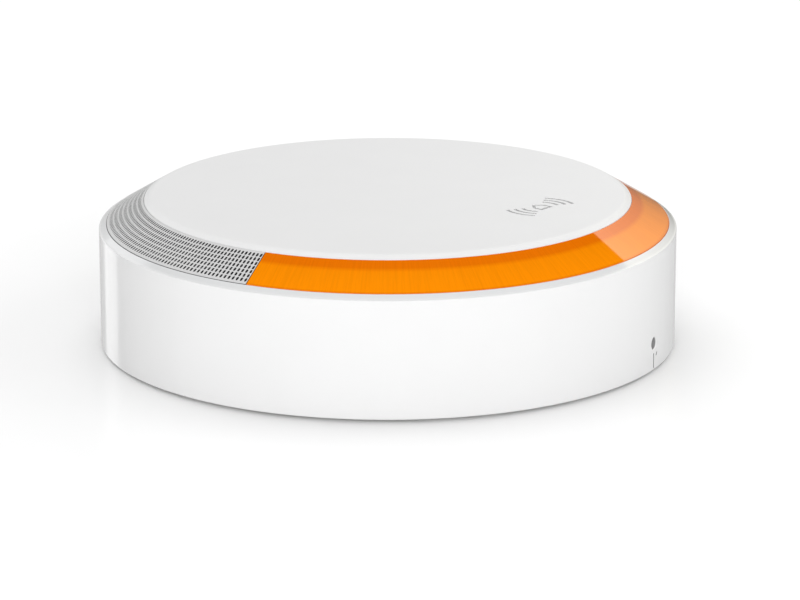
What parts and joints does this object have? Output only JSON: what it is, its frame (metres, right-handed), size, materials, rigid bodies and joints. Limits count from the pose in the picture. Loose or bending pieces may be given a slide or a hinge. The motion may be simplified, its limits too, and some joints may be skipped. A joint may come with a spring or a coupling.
{
  "type": "smart home siren",
  "caption": "Round wall-mounted smart home siren with a sloping band, half translucent orange light and half perforated grille, round a plain flat face.",
  "frame": {"origin": "centre of the wall plate's back face, which lies on the wall or on the table that it stands on", "axes": "+Z straight out of the wall, from the back face to the front face; -Y is the bottom as it hangs, where the lock screw is; +X is to the right seen from the front"},
  "size_m": [0.2, 0.2, 0.052],
  "materials": {
    "white_gloss": "gloss white moulded plastic",
    "white_satin": "satin white moulded plastic",
    "white_moulding": "plain off-white moulded plastic",
    "reflector_white": "bright white reflector plastic",
    "amber_lens": "translucent orange plastic, glossy outside and ribbed inside",
    "grille_grey": "light grey satin plastic, perforated",
    "acoustic_mesh": "black water-repellent acoustic mesh",
    "seal_rubber": "dark grey foam rubber",
    "plunger_grey": "dark grey slippery plastic",
    "steel": "zinc-plated steel",
    "board_green": "green solder mask",
    "chip_black": "black moulded component bodies",
    "led_yellow": "yellow phosphor under clear resin",
    "brass": "bright brass",
    "sounder_black": "black glass-filled plastic",
    "cell_jacket": "printed cell jacket with no lettering",
    "lead_grey": "insulated lead"
  },
  "bodies": {
    "wall_plate": {"mounting_plate": "white_moulding"},
    "gasket": {"rear_gasket": "seal_rubber"},
    "head": {"housing": "white_gloss", "front_cover": "white_satin", "lens": "amber_lens", "grille": "grille_grey", "acoustic_membrane": "acoustic_mesh", "rear_shell": "white_moulding", "battery_cover": "white_moulding", "battery_seal": "seal_rubber", "cover_screw_1": "steel", "cover_screw_2": "steel", "cover_screw_3": "steel", "cover_screw_4": "steel", "housing_screw_1": "steel", "housing_screw_2": "steel", "housing_screw_3": "steel", "housing_screw_4": "steel", "housing_screw_5": "steel", "housing_screw_6": "steel", "chassis": "white_moulding", "led_board": "board_green", "reflector": "reflector_white", "led_1": "led_yellow", "led_2": "led_yellow", "led_3": "led_yellow", "led_4": "led_yellow", "led_5": "led_yellow", "led_6": "led_yellow", "led_7": "led_yellow", "led_8": "led_yellow", "main_board": "board_green", "radio_module": "steel", "controller_chip": "chip_black", "driver_coil": "chip_black", "antenna": "brass", "sounder_body": "sounder_black", "sounder_magnet": "steel", "sounder_diaphragm": "brass", "sounder_horn": "sounder_black", "cell_1": "cell_jacket", "cell_2": "cell_jacket", "cell_3": "cell_jacket", "cell_4": "cell_jacket", "contact_spring_1": "steel", "contact_spring_2": "steel", "contact_plate_1": "steel", "contact_plate_2": "steel", "switch_board": "board_green", "tamper_switch": "chip_black", "tamper_spring": "steel", "pairing_switch": "chip_black", "sounder_lead": "lead_grey", "battery_lead": "lead_grey", "switch_lead": "lead_grey"},
    "lock_screw": {"lock_screw": "steel"},
    "tamper_plunger": {"tamper_plunger": "plunger_grey"},
    "pairing_button": {"pairing_button": "white_gloss"}
  },
  "joints": [
    {"name": "head_lift", "type": "slide", "parent": "wall_plate", "child": "gasket", "axis": [0, 0, 1], "range_m": [0, 0.06]},
    {"name": "head_twist", "type": "hinge", "parent": "gasket", "child": "head", "pos_m": [0, 0, 0], "axis": [0, 0, 1], "range_deg": [-15, 0]},
    {"name": "lock_screw_travel", "type": "slide", "parent": "head", "child": "lock_screw", "axis": [0, 1, 0], "range_m": [0, 0.004]},
    {"name": "tamper_press", "type": "slide", "parent": "head", "child": "tamper_plunger", "axis": [0, 0, 1], "range_m": [0, 0.0025], "stiffness_N_per_m": 300, "springref_m": -0.003, "deforming": ["tamper_spring"]},
    {"name": "pairing_press", "type": "slide", "parent": "head", "child": "pairing_button", "axis": [0, 0, 1], "range_m": [0, 0.001], "stiffness_N_per_m": 800, "springref_m": -0.0008}
  ]
}
